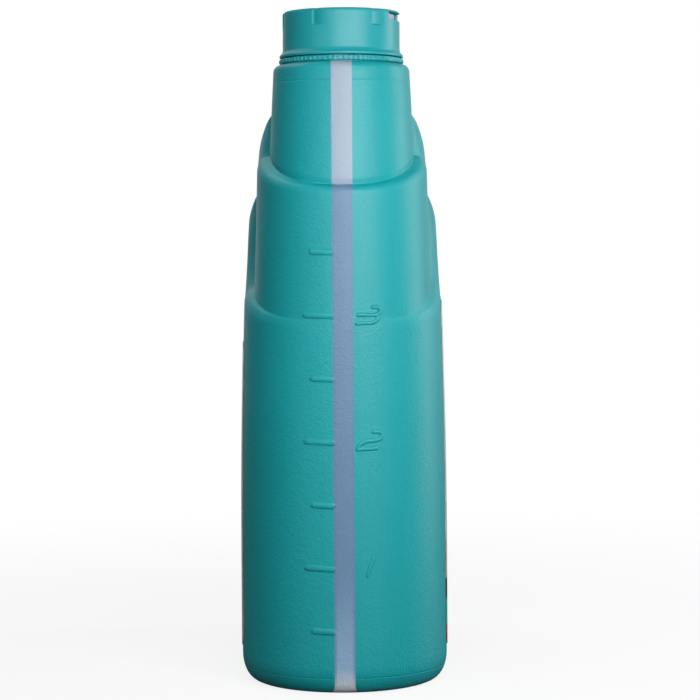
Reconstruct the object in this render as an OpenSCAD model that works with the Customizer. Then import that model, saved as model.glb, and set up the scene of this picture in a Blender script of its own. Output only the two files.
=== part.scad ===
// Four-quart oil jug: a blow-moulded bottle with stepped shoulders, a hollow
// handle, a clear view stripe with level marks, and a screw cap over a tamper
// band. Millimetres. Z is up, the base stands on Z = 0, the stripe end faces -Y
// and the handle lies on the +Y side.

/* [Body] */
// Length of the body, front to back
body_l = 214; // [206:1:224]
// Width of the body at its widest
body_w = 95.4; // [92:0.2:99]
// Height of the moulded shell, up to the flat round the neck
body_h = 283.8; // [280:0.2:290]
// Thickness of the moulded wall
wall = 1.2; // [0.9:0.1:1.6]
// Depth of the rounded front end, in plan
front_d = 50; // [45:1:56]
// Depth of the rounded back end, in plan
back_d = 38; // [33:1:44]
// Height at which the sides start to draw in
taper_z = 50; // [40:5:80]
// Height at which the front starts to lean back
lean_z = 60; // [50:5:90]
// Height over which the base edge rounds
base_round_h = 12; // [9:1:15]
// How far the base edge rounds inwards
base_round_in = 7; // [5:0.5:9]
// Width of the ring that the jug stands on
foot_w = 8; // [6:0.5:12]
// Rise of the panel inside that ring
push_up = 2.5; // [1:0.5:4]

/* [Roof under the handle] */
// Height at which the back wall starts to round over
roof_z = 168; // [160:1:174]
// Radius of the corner between back wall and roof
roof_corner_r = 30; // [24:1:36]
// Slope of the roof towards the neck, in degrees
roof_slope = 20; // [18:0.5:23]
// Radius of the fillet between roof and neck column
roof_fillet_r = 30; // [26:1:36]
// Depth of the rounding behind the column, in plan
saddle_d = 15; // [13:0.5:18]

/* [Neck column] */
// Distance of the neck's axis from the body's front
neck_from_front = 38; // [37:0.5:41]
// Width of the column under the cap
column_top_w = 62.2; // [60:0.2:64]
// Width of the column at the level of the upper step
column_foot_w = 67.8; // [66:0.2:70]
// Radius of the column's top edge
column_edge_r = 3.2; // [2:0.2:4]

/* [Upper step] */
// Height of the upper step at the stripe
step1_z = 228.5; // [222:0.5:234]
// How much it has risen where it meets the sides
step1_rise = 14.5; // [10:0.5:18]
// Height of its top behind the sides
step1_back_z = 263; // [258:1:266]
// Height of the step's own curve at the stripe
step1_fall = 4; // [3:0.5:6]
// Height of that curve where it meets the sides
step1_side_fall = 7; // [5:0.5:9]
// Height of that curve behind the sides
step1_back_fall = 21; // [18:1:26]
// Width of the middle tier just below the step
mid_top_w = 78; // [75:0.5:80]
// Width of the middle tier at the lower step
mid_foot_w = 82; // [80.5:0.5:84]
// Front overhang of the middle tier beyond the column
step1_front = 3.2; // [2:0.2:4]
// Depth of the middle tier's rounded front, in plan
mid_front_d = 41.5; // [39:0.5:44]

/* [Lower step] */
// Height of the lower step at the stripe
step2_z = 168; // [162:0.5:174]
// How much it has risen where it meets the sides
step2_rise = 13; // [9:0.5:17]
// Height of its top behind the sides
step2_back_z = 227; // [222:1:230]
// Height of the step's own curve round the front
step2_fall = 5; // [4:0.5:7]
// Height of that curve behind the sides
step2_back_fall = 15; // [12:1:18]
// Width of the lower tier just below the step's back end
low_top_w = 88.8; // [84.8:0.2:90]

/* [Handle] */
// Width of the handle
handle_w = 32; // [28:1:38]
// Thickness of the handle
handle_t = 24; // [21:1:26]
// Height of the handle's middle line at its highest point
handle_z = 264; // [261:1:266]
// Gap between the handle's outer face and the line of the back wall
handle_in = 3; // [1:0.2:4]

/* [Stripe, marks and figures] */
// Width of the view stripe
stripe_w = 9.2; // [7:0.2:12]
// Half a quart on the scale
mark_pitch = 28.3; // [26:0.1:30]
// Height of one mark
mark_h = 2.8; // [1.8:0.2:3.4]
// How far marks and figures stand proud
mark_proud = 0.6; // [0.4:0.1:1]
// Length of a half-quart mark
mark_short = 11.2; // [8:0.2:13]
// Length of a quart mark
mark_long = 14.2; // [13.2:0.2:17]
// Slant of the marks, in degrees
mark_slant = 2.3; // [0:0.1:5]
// Width of a figure's stroke
figure_stroke = 1.3; // [0.8:0.1:1.8]

/* [Neck finish] */
// Bore of the neck
neck_bore = 41; // [38:0.5:42]
// Outer diameter of the neck under the thread
neck_od = 45.2; // [44:0.2:46]
// Height of the neck's rim above the shell
neck_h = 19.8; // [18:0.2:22]
// Height of the bead that holds the tamper band
bead_h = 1.6; // [1.2:0.1:2]

/* [Cap] */
// Outer diameter of the cap
cap_d = 53.7; // [52:0.1:55]
// Wall of the cap
cap_wall = 2; // [1.8:0.1:2.2]
// Height of the cap without the tamper band
cap_h = 20.9; // [19.4:0.1:21.6]
// Thickness of the cap's top
cap_top = 1; // [0.8:0.1:2]
// Radius of the cap's top edge
cap_edge_r = 1.2; // [0.8:0.1:1.5]
// Height of the flare at the cap's lower edge
flare_h = 3.8; // [3:0.2:5]
// Reach of the flare beyond the cap's wall
flare_out = 1.5; // [1:0.1:1.8]
// Number of grip recesses
grips = 6; // [4:1:8]
// Depth of a recess at its steep end
grip_depth = 1.3; // [0.8:0.1:1.5]
// Angle over which a recess runs out, in degrees
grip_ramp = 15; // [10:1:20]
// Height of a recess, down from the top
grip_h = 7.4; // [5:0.2:9]
// Direction of the first recess from the front, in degrees
grip_at = 32; // [20:1:40]
// Height of the window under the rim
window_h = 3.6; // [1.6:0.2:3.6]
// Angle that the window spans, in degrees
window_span = 44; // [20:1:46]
// Angle between the first recess and the window, in degrees
window_after = 7; // [5:1:9]

/* [Seal insert] */
// Thickness of the disc under the cap's top
seal_t = 2.8; // [1.6:0.1:2.8]
// Depth of the plug ring that enters the neck
plug_h = 5; // [3:0.5:8]
// Wall of the plug ring
plug_wall = 1.3; // [1:0.1:2]
// Size of the bevel at the plug ring's end
plug_bevel = 0.5; // [0.3:0.1:0.8]

/* [Tamper band] */
// Outer diameter of the band
band_d = 57.2; // [56:0.2:58]
// Wall of the band
band_wall = 2.3; // [2:0.1:2.4]
// Height of the band
band_h = 2.3; // [2:0.1:3.4]
// Number of ribs round the band
band_ribs = 78; // [60:2:90]
// Height of the ribs
band_rib_h = 0.45; // [0.2:0.05:0.6]

/* [Labels] */
// Length of a label, front to back
label_l = 140; // [136:1:144]
// Distance of a label's front edge from the body's front
label_from_front = 41; // [38:0.5:44]
// Height of a label's lower edge
label_z = 15; // [14:1:24]
// Height of the label on the left side
label_left_h = 142; // [120:1:144]
// Height of the label on the right side, at its front edge
label_right_h = 162; // [146:1:164]
// Thickness of a label
label_t = 0.25; // [0.2:0.05:0.4]
// Radius of a label's corners
label_r = 9; // [4:1:14]

/* [Contents] */
// Height of the oil's surface
oil_z = 227; // [200:1:228]

/* [Fits] */
// Clearance between the cap and what turns inside it
cap_gap = 0.3; // [0.25:0.05:0.4]
// Gap between cap and tamper band, and between band and shell
band_gap = 0.5; // [0.4:0.05:0.6]
// Clearance between wall and oil
oil_gap = 0.3; // [0.2:0.05:0.4]
// Gap between label and wall, for the facets
label_gap = 0.12; // [0.1:0.01:0.2]

/* [Hidden] */
$fn = 72;

neck_y = neck_from_front - body_l / 2;
rim_z = body_h + neck_h;
band_z = body_h + band_gap;
cap_z = band_z + band_h + band_gap;
cap_top_z = cap_z + cap_h;
seal_z = rim_z + cap_gap;

y_front = -body_l / 2;
y_back = body_l / 2;
y_label = y_front + label_from_front;

// Colours
teal = [0.10, 0.62, 0.64];
oil_amber = [0.72, 0.47, 0.12];
natural = [0.72, 0.75, 0.78];
label_grey = [0.80, 0.80, 0.78];

function mix(a, b, t) = a + (b - a) * t;
function unit(t) = max(0, min(1, t));
function ease(t) = let (u = unit(t)) u * u * (3 - 2 * u);
function arc(centre, r, from, to, n) =
    [for (k = [0:n]) let (a = mix(from, to, k / n)) centre + r * [cos(a), sin(a)]];

// Side view of the back: vertical wall, corner, sloping roof, fillet, column.
column_gap = 1;
column_back = neck_y + column_gap + mix(column_top_w, column_foot_w, 0.35) / 2;
roof_z1 = roof_z + roof_corner_r * cos(roof_slope);
roof_y1 = y_back - roof_corner_r * (1 - sin(roof_slope));
roof_y2 = column_back + roof_fillet_r * (1 - sin(roof_slope));
roof_z2 = roof_z1 + (roof_y1 - roof_y2) * tan(roof_slope);
roof_z3 = roof_z2 + roof_fillet_r * cos(roof_slope);
function back_y(z) =
    z <= roof_z ? y_back
    : z <= roof_z1 ? y_back - roof_corner_r + sqrt(pow(roof_corner_r, 2) - pow(z - roof_z, 2))
    : z <= roof_z2 ? roof_y1 - (z - roof_z1) / tan(roof_slope)
    : z <= roof_z3 ? column_back + roof_fillet_r - sqrt(pow(roof_fillet_r, 2) - pow(z - roof_z3, 2))
    : column_back;

// Stations round the plan, right half from the stripe to the back: along the
// front arc, the straight side and the back arc. The second one is the edge of
// the stripe.
front_n = 12;
side_places = [0.1, 0.22, 0.36, 0.66, 1];
side_n = len(side_places);
back_n = 8;
half_n = front_n + side_n + back_n;
ring_n = 2 * half_n;
stripe_a = asin(stripe_w / body_w);
function station(i) =
    i == 0 ? ["front", 0]
    : i <= front_n ? ["front", mix(stripe_a, 90, (i - 1) / (front_n - 1))]
    : i <= front_n + side_n ? ["side", side_places[i - front_n - 1]]
    : ["back", 90 * (i - front_n - side_n) / back_n];

// A plan is [half width, front, front centre, back centre, back].
function plan_point(s, p) =
    s[0] == "front" ? [p[0] * sin(s[1]), p[2] - (p[2] - p[1]) * cos(s[1])]
    : s[0] == "side" ? [p[0], mix(p[2], p[3], s[1])]
    : [p[0] * cos(s[1]), p[3] + (p[4] - p[3]) * sin(s[1])];

// Direction straight inwards at a station.
function inward(s) =
    s[0] == "front" ? [-sin(s[1]), cos(s[1])]
    : s[0] == "side" ? [-1, 0]
    : [-cos(s[1]), -sin(s[1])];

// Half widths of the three tiers at a height.
function column_hw(z) =
    mix(column_foot_w, column_top_w, (z - step1_z) / (body_h - step1_z)) / 2;
function mid_hw(z) =
    mix(mid_foot_w, mid_top_w, (z - step2_z) / (step1_back_z - step1_back_fall - step2_z)) / 2;
function low_hw(z) =
    mix(body_w, low_top_w, pow(max(0, z - taper_z) / (step2_back_z - step2_back_fall - taper_z), 2.1)) / 2;

// The front leans back from lean_z up to the upper step.
mid_front = neck_y - column_gap / 2 - column_foot_w / 2 - step1_front;
function front_y(z) = mix(mid_front, y_front, unit((step1_z - z) / (step1_z - lean_z)));
function back_depth(z) = mix(back_d, saddle_d, ease((z - roof_z1) / (step2_back_z - roof_z1)));

// Plans of the three tiers at a height.
function column_plan(z) =
    let (r = column_hw(z), y = neck_y - column_gap / 2)
    [r, y - r, y, neck_y + column_gap, neck_y + column_gap + r];
function mid_plan(z) =
    let (f = front_y(z))
    [mid_hw(z), f, f + mid_front_d, back_y(z) - back_depth(z), back_y(z)];
low_front_shrink = 1.5;
function low_plan(z) =
    let (
        f = front_y(z),
        t = unit((z - lean_z) / (step2_z + step2_rise - lean_z)),
        d = front_d - low_front_shrink * t)
    [low_hw(z), f, f + d, back_y(z) - back_depth(z), back_y(z)];

// Each step is a curve round the body: its height, its fall and its roundness,
// where 1 is a quarter wave and less is a tighter top edge.
step1_round = 0.55;
step2_round = 0.6;
// Share of the straight side over which the lower step sweeps up
step2_run = 0.35;
function step1(s) =
    s[0] == "front"
    ? let (c = 1 - cos(s[1]))
        [step1_z + step1_rise * pow(c, 1.2), mix(step1_fall, step1_side_fall, c), step1_round]
    : s[0] == "side"
    ? let (t = ease(s[1]))
        [mix(step1_z + step1_rise, step1_back_z, t), mix(step1_side_fall, step1_back_fall, t),
            mix(step1_round, 1, s[1])]
    : [step1_back_z, step1_back_fall, 1];
function step2(s) =
    s[0] == "front"
    ? [step2_z + step2_rise * pow(1 - cos(s[1]), 1.5), step2_fall, step2_round]
    : s[0] == "side"
    ? let (t = ease(s[1] / step2_run))
        [mix(step2_z + step2_rise, step2_back_z, t), mix(step2_fall, step2_back_fall, t),
            mix(step2_round, 1, t)]
    : [step2_back_z, step2_back_fall, 1];
function fall(step, z) = pow(sin(90 * unit((step[0] - z) / step[1])), step[2]);

// Point of the skin in plan at a station and a height: the column, then the
// middle tier below the upper step, then the lower tier below the lower step.
function skin_xy(s, z) =
    let (column = plan_point(s, column_plan(z)),
        middle = plan_point(s, mid_plan(z)),
        low = plan_point(s, low_plan(z)))
    mix(column, mix(middle, low, fall(step2(s), z)), fall(step1(s), z));
function at_height(p, z) = [p.x, p.y, z];

// Rows of the skin, bottom to top. Between the edges they follow the steps.
foot_step = 4;
low_rows = [0.2, 0.42, 0.6, 0.72, 0.77, 0.81, 0.85, 0.885, 0.93, 1];
step_rows = [0.72, 0.46, 0.25, 0.1, 0];
rows = concat(
    [["floor", 1], ["floor", 0], ["base", 0], ["base", 25], ["base", 50], ["base", 75], ["base", 90]],
    [for (f = low_rows) ["low", f]],
    [for (t = step_rows) ["step2", t]],
    [for (f = [0.33, 0.67, 1]) ["mid", f]],
    [for (t = step_rows) ["step1", t]],
    [for (f = [0.3, 0.65, 1]) ["column", f]],
    [for (a = [30, 60, 90]) ["edge", a]]);

// The bottom rows round inwards from the wall, and so does the column's edge.
edge_z = body_h - column_edge_r;
function floor_point(v, s) =
    at_height(skin_xy(s, base_round_h) + (base_round_in + foot_w + foot_step * v) * inward(s), push_up * v);
function base_point(a, s) =
    at_height(skin_xy(s, base_round_h) + base_round_in * (1 - sin(a)) * inward(s),
        base_round_h * (1 - cos(a)));
function edge_point(a, s) =
    at_height(skin_xy(s, edge_z) + column_edge_r * (1 - cos(a)) * inward(s), edge_z + column_edge_r * sin(a));
function row_z(row, s) =
    let (kind = row[0], v = row[1], s1 = step1(s), s2 = step2(s))
    kind == "low" ? mix(base_round_h, s2[0] - s2[1], v)
    : kind == "step2" ? s2[0] - s2[1] * v
    : kind == "mid" ? mix(s2[0], s1[0] - s1[1], v)
    : kind == "step1" ? s1[0] - s1[1] * v
    : mix(s1[0], edge_z, v);
function skin_point(row, s) =
    row[0] == "floor" ? floor_point(row[1], s)
    : row[0] == "base" ? base_point(row[1], s)
    : row[0] == "edge" ? edge_point(row[1], s)
    : let (z = row_z(row, s)) at_height(skin_xy(s, z), z);

// The whole skin as rings of points, left side mirrored from the right.
skin = [for (row = rows)
    let (half = [for (i = [0:half_n]) skin_point(row, station(i))])
    [for (i = [0:ring_n - 1]) i <= half_n ? half[i] : let (q = half[ring_n - i]) [-q.x, q.y, q.z]]];
last_row = len(skin) - 1;

// Outward direction at a point of the skin, from its neighbours.
function normal(i, j) =
    i == 0 ? [0, 0, -1]
    : i == last_row ? [0, 0, 1]
    : let (u = skin[i][(j + 1) % ring_n] - skin[i][(j + ring_n - 1) % ring_n],
        v = skin[i + 1][j] - skin[i - 1][j],
        n = cross(u, v)) n / norm(n);

// A closed surface through rings of points, first and last ring filled.
module rings(grid) {
    n = len(grid[0]);
    m = len(grid);
    polyhedron(
        points = [for (ring = grid) each ring],
        faces = concat(
            [[for (j = [0:n - 1]) j]],
            [for (i = [0:m - 2], j = [0:n - 1], k = [0, 1])
                let (a = i * n + j, b = i * n + (j + 1) % n, c = b + n, d = a + n)
                k == 0 ? [a, c, b] : [a, d, c]],
            [[for (j = [n - 1:-1:0]) (m - 1) * n + j]]),
        convexity = 6);
}

// The skin moved inwards by d, on the rows that shape the inside and on every
// second station of both ends.
inner_rows = [0, 1, 2, 4, 6, 7, 8, 10, 12, 14, 16, 17, 18, 20, 21, 23, 24, 25, 27, 28, 29, 31, 33, last_row];
inner_half = concat(
    [for (j = [0:2:front_n]) j],
    [for (j = [1:side_n]) front_n + j],
    [for (j = [2:2:back_n]) front_n + side_n + j]);
inner_stations = concat(inner_half, [for (k = [len(inner_half) - 2:-1:1]) ring_n - inner_half[k]]);
module inner_skin(d) {
    rings([for (i = inner_rows) [for (j = inner_stations) skin[i][j] - d * normal(i, j)]]);
}

// Handle: a rounded tube along a bent line in the middle plane, from inside the
// column over the roof and down into the back wall. It widens at both roots.
handle_y2 = y_back - handle_in - handle_t / 2;
handle_line = [
    [neck_y + 14, handle_z - 8],
    [neck_y + 50, handle_z - 1],
    [neck_y + 86, handle_z - 2],
    [handle_y2 - 30, handle_z - 16],
    [handle_y2 - 6, handle_z - 40],
    [handle_y2, handle_z - 70],
    [handle_y2 - 7, handle_z - 98]];
root_widening = 0.28;
front_root = 0.35;
back_root = 0.45;
function curve(p, i, t) =
    let (n = len(p) - 1, a = p[max(0, i - 1)], b = p[i], c = p[min(n, i + 1)], d = p[min(n, i + 2)])
    0.5 * (2 * b + (c - a) * t + (2 * a - 5 * b + 4 * c - d) * t * t + (3 * b - a - 3 * c + d) * t * t * t);
function last(p) = p[len(p) - 1];
handle_path = concat(
    [for (i = [0:len(handle_line) - 2], k = [0:2]) curve(handle_line, i, k / 3)],
    [last(handle_line)]);
function along(p, i) = let (v = p[min(len(p) - 1, i + 1)] - p[max(0, i - 1)]) v / norm(v);
function rounded(c) = sign(c) * pow(abs(c), 0.8);
function handle_widening(t) =
    1 + root_widening * (pow(unit(1 - t / front_root), 2) + pow(unit(1 - (1 - t) / back_root), 2));
function handle_ring(i, d, n) =
    let (q = handle_path[i],
        t = along(handle_path, i),
        half_w = handle_widening(i / (len(handle_path) - 1)) * handle_w / 2 - d,
        half_t = handle_t / 2 - d)
    [for (k = [0:n - 1]) let (a = 360 * k / n, c = rounded(sin(a)) * half_t)
        [rounded(cos(a)) * half_w, q[0] - t[1] * c, q[1] + t[0] * c]];
module handle_tube(d, n) {
    rings([for (i = [len(handle_path) - 1:-1:0]) handle_ring(i, d, n)]);
}

// The front face at a point [x, z], and a point that stands out from it.
function face_y(x, z) =
    let (p = low_plan(z))
    p[2] - (p[2] - p[1]) * sqrt(max(0, 1 - pow(x / p[0], 2)));
function face_point(x, z, out) =
    let (d = 0.5,
        slope = (face_y(x + d, z) - face_y(x - d, z)) / (2 * d),
        n = [slope, -1] / norm([slope, -1]))
    [x + out * n[0], face_y(x, z) + out * n[1], z];

// A raised stroke on the front face along points [x, z], as wide as w, with
// rounded ends.
stroke_step = 4.8;
function fine_line(p) =
    [for (i = [0:len(p) - 2])
        let (n = max(1, ceil(norm(p[i + 1] - p[i]) / stroke_step)))
        for (k = [0:n - 1]) mix(p[i], p[i + 1], k / n), last(p)];
function toward(a, b, d) = a + d * (b - a) / norm(b - a);
function round_ended(p, w) =
    let (n = len(p) - 1, d = 0.3 * w)
    concat([p[0], toward(p[0], p[1], d)], n > 1 ? [for (i = [1:n - 1]) p[i]] : [],
        [toward(p[n], p[n - 1], d), p[n]]);
function stroke_side(p, i) =
    let (u = i == 0 ? p[1] - p[0] : p[i] - p[i - 1],
        v = i == len(p) - 1 ? p[i] - p[i - 1] : p[i + 1] - p[i],
        a = [-u[1], u[0]] / norm(u),
        b = [-v[1], v[0]] / norm(v))
    (a + b) / (1 + a * b);
module stroke(line, w, out) {
    p = fine_line(round_ended(line, w));
    section = [[0.5, -0.7], [0.5, 0.3 * out], [0.24, out], [-0.24, out], [-0.5, 0.3 * out], [-0.5, -0.7]];
    rings([for (i = [0:len(p) - 1])
        let (narrow = i == 0 || i == len(p) - 1 ? 0.55 : 1, side = narrow * w * stroke_side(p, i))
        [for (q = section) let (c = p[i] + q[0] * side) face_point(c[0], c[1], q[1])]]);
}

// Level marks left of the stripe, longer at whole quarts.
mark_end = -stripe_w / 2 + 0.6;
module marks() {
    for (i = [1:7])
        let (l = i % 2 == 0 ? mark_long : mark_short, z = i * mark_pitch)
            stroke([[mark_end - l, z + l * tan(mark_slant)], [mark_end, z]], mark_h, mark_proud);
}

// Figures right of the stripe, as points [x, height from the figure's mark].
figure_1 = [[13.1, 4.5], [10.1, -4.4]];
figure_2 = [[12.5, 3.8], [16.1, 3.9], [17.2, 2.6], [16.6, 0.8], [14.8, 0.1], [9.8, -0.3], [7.2, -1.7],
    [6, -3.9], [15.4, -3.4]];
figure_3_top = [[12.5, 3.3], [15.7, 3.2], [16.9, 1.8], [16.3, 0.1], [14, -0.7]];
figure_3_foot = [[6, -0.9], [14.3, -0.7], [15.7, -1.6], [15.4, -3.2], [13.4, -4.4], [5.4, -4.8]];
module figure(points, quart) {
    stroke([for (q = points) q + [0, 2 * quart * mark_pitch]], figure_stroke, mark_proud);
}
module figures() {
    figure(figure_1, 1);
    figure(figure_2, 2);
    figure(figure_3_top, 3);
    figure(figure_3_foot, 3);
}

// Neck with its collar inside the tamper band and the bead that holds it. The
// corners are broken by neck_bevel.
neck_bevel = 0.5;
module neck_finish() {
    collar_r = band_d / 2 - band_wall - cap_gap;
    neck_r = neck_od / 2;
    bead_r = cap_d / 2 - cap_wall - cap_gap;
    bead_z = cap_z + 1;
    translate([0, neck_y, 0])
        rotate_extrude()
            polygon([
                [0, body_h - wall],
                [collar_r, body_h - wall],
                [collar_r, band_z + band_h - neck_bevel],
                [neck_r, band_z + band_h],
                [neck_r, bead_z],
                [bead_r - neck_bevel, bead_z],
                [bead_r, bead_z + neck_bevel],
                [neck_r, bead_z + bead_h],
                [neck_r, rim_z - neck_bevel],
                [neck_r - neck_bevel, rim_z],
                [0, rim_z]]);
}

module jug_body() {
    color(teal)
        difference() {
            union() {
                rings(skin);
                handle_tube(0, 16);
                neck_finish();
                marks();
                figures();
            }
            inner_skin(wall);
            handle_tube(wall, 12);
            translate([0, neck_y, body_h - 2 * wall])
                cylinder(d = neck_bore, h = neck_h + 4 * wall);
        }
}

module oil_fill() {
    color(oil_amber)
        intersection() {
            inner_skin(wall + oil_gap);
            translate([-body_w / 2, y_front, 0])
                cube([body_w, body_l, oil_z]);
        }
}

module tamper_band() {
    r = band_d / 2;
    color(teal)
        translate([0, neck_y, band_z])
            linear_extrude(height = band_h)
                difference() {
                    polygon([for (i = [0:2 * band_ribs - 1])
                        let (a = 180 * i / band_ribs) (r - (i % 2) * band_rib_h) * [cos(a), sin(a)]]);
                    circle(d = band_d - 2 * band_wall);
                }
}

// Wedge between the cap's round wall and a ramp that starts grip_depth deep.
module grip() {
    r = cap_d / 2;
    ramp = [for (k = [0:4])
        let (a = -90 + grip_ramp * k / 4) (r - grip_depth * (1 - k / 4)) * [cos(a), sin(a)]];
    translate([0, 0, cap_top_z - grip_h])
        linear_extrude(height = grip_h + 1)
            polygon(concat(ramp, [(r + 2) * [cos(grip_ramp - 90), sin(grip_ramp - 90)], [0, -r - 2]]));
}

module cap_window() {
    r = cap_d / 2;
    translate([0, 0, cap_top_z - cap_top - window_h])
        rotate([0, 0, -90 + grip_at + grip_ramp + window_after])
            rotate_extrude(angle = window_span)
                translate([r - cap_wall - 1, 0])
                    square([cap_wall + 3, window_h]);
}

module cap() {
    r = cap_d / 2;
    flare = [for (t = [0, 0.3, 0.65, 1]) [r + flare_out * t, cap_z + flare_h * (1 - 0.75 * pow(t, 0.7))]];
    color(teal)
        translate([0, neck_y, 0])
            difference() {
                rotate_extrude()
                    polygon(concat(
                        [[0, cap_top_z]],
                        arc([r - cap_edge_r, cap_top_z - cap_edge_r], cap_edge_r, 90, 0, 3),
                        flare,
                        [[r + flare_out, cap_z], [r - cap_wall, cap_z],
                            [r - cap_wall, cap_top_z - cap_top], [0, cap_top_z - cap_top]]));
                for (i = [0:grips - 1])
                    rotate([0, 0, grip_at + 360 * i / grips])
                        grip();
                cap_window();
            }
}

module seal_insert() {
    disc_r = cap_d / 2 - cap_wall - cap_gap;
    plug_r = neck_bore / 2 - cap_gap;
    color(natural)
        translate([0, neck_y, seal_z])
            rotate_extrude()
                polygon([
                    [0, seal_t],
                    [disc_r, seal_t],
                    [disc_r, 0],
                    [plug_r, 0],
                    [plug_r, -plug_h + plug_bevel],
                    [plug_r - plug_bevel, -plug_h],
                    [plug_r - plug_wall, -plug_h],
                    [plug_r - plug_wall, 0],
                    [0, 0]]);
}

// A label is a thin patch that follows one broad side, trimmed to its outline.
// The patch runs past the outline by label_margin.
label_margin = 2;
function side_x(y, z) =
    let (p = low_plan(z),
        t = y < p[2] ? (p[2] - y) / (p[2] - p[1]) : y > p[3] ? (y - p[3]) / (p[4] - p[3]) : 0)
    p[0] * sqrt(1 - t * t);
module label_patch(h) {
    zs = [for (k = [0:5]) label_z - label_margin + (h + 2 * label_margin) * k / 5];
    y1 = y_front + front_d;
    y2 = y_back - back_d;
    ys = concat(
        [for (k = [0:3]) mix(y_label - label_margin, y1, k / 3)],
        [for (k = [0:3]) mix(y2, y_label + label_l + label_margin, k / 3)]);
    n = len(ys);
    rings([for (z = zs) concat(
        [for (k = [n - 1:-1:0]) [side_x(ys[k], z) + label_gap, ys[k], z]],
        [for (k = [0:n - 1]) [side_x(ys[k], z) + label_gap + label_t, ys[k], z]])]);
}
module label_outline(h, drop) {
    z0 = label_z + label_r;
    z1 = label_z + h - label_r;
    y1 = label_l - label_r;
    translate([0, y_label, 0])
        rotate([90, 0, 90])
            linear_extrude(height = body_w)
                polygon(concat(
                    arc([label_r, z0], label_r, 180, 270, 4),
                    arc([y1, z0], label_r, 270, 360, 4),
                    arc([y1, z1 - drop], label_r, 0, 90, 4),
                    arc([label_r, z1], label_r, 90, 180, 4)));
}

module label_left() {
    color(label_grey)
        mirror([1, 0, 0])
            intersection() {
                label_patch(label_left_h);
                label_outline(label_left_h, 0);
            }
}

module label_right() {
    color(label_grey)
        intersection() {
            label_patch(label_right_h);
            label_outline(label_right_h, label_right_h - label_left_h);
        }
}

jug_body();
oil_fill();
tamper_band();
cap();
seal_insert();
label_left();
label_right();
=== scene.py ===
import math

import bmesh
import bpy
import numpy as np
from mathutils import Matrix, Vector
from mathutils.kdtree import KDTree


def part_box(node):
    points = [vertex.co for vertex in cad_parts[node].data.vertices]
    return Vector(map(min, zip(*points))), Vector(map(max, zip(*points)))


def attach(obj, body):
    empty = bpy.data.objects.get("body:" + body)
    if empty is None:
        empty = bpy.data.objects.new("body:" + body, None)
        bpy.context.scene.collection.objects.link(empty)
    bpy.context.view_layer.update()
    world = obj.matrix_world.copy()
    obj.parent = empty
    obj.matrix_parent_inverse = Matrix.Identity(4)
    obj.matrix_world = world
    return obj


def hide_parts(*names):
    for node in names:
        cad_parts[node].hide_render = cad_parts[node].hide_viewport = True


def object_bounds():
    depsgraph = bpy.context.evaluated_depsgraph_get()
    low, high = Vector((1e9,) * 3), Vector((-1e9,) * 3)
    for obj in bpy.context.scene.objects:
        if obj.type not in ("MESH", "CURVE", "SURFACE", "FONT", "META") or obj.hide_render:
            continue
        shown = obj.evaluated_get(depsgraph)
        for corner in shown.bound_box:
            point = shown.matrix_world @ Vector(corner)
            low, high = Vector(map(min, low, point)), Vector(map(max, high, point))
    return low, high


bl_info = {
    "name": "Oil jug",
    "version": (1, 0, 0),
    "blender": (4, 5, 0),
    "location": "View3D > Sidebar > Oil jug",
    "description": "Dresses a blow-moulded oil jug: shell, cap, tamper band, seal, labels and stage",
    "category": "Object",
}

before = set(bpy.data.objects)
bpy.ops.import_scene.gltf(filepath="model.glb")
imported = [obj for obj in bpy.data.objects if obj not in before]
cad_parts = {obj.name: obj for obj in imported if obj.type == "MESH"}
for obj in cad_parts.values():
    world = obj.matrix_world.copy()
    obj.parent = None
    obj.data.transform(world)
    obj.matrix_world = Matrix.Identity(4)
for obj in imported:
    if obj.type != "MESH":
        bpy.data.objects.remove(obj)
cad_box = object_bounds()

MM = 0.001
SHARP = math.radians(38)

# Places that the frame gives
body_low, body_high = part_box("jug_body")
cap_low, cap_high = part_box("cap")
band_low, band_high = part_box("tamper_band")
seal_low, seal_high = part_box("seal_insert")
left_low, left_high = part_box("label_left")
right_low, right_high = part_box("label_right")
neck_y = (cap_low.y + cap_high.y) / 2


def size(name, text, millimetres):
    """A length that a user may change, given in millimetres and kept in metres."""
    return bpy.props.FloatProperty(
        name=name, description=text, default=millimetres * MM, unit="LENGTH", precision=4)


def angle(name, text, degrees):
    """An angle that a user may change."""
    return bpy.props.FloatProperty(
        name=name, description=text, default=math.radians(degrees), subtype="ANGLE")


def colour(name, text, red, green, blue):
    """A colour that a user may change, given as it shows on a screen, 0 to 255."""
    def linear(v):
        v = v / 255
        return v / 12.92 if v <= 0.04045 else ((v + 0.055) / 1.055) ** 2.4
    return bpy.props.FloatVectorProperty(
        name=name, description=text, subtype="COLOR", size=3, min=0, max=1,
        default=(linear(red), linear(green), linear(blue)))


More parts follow.
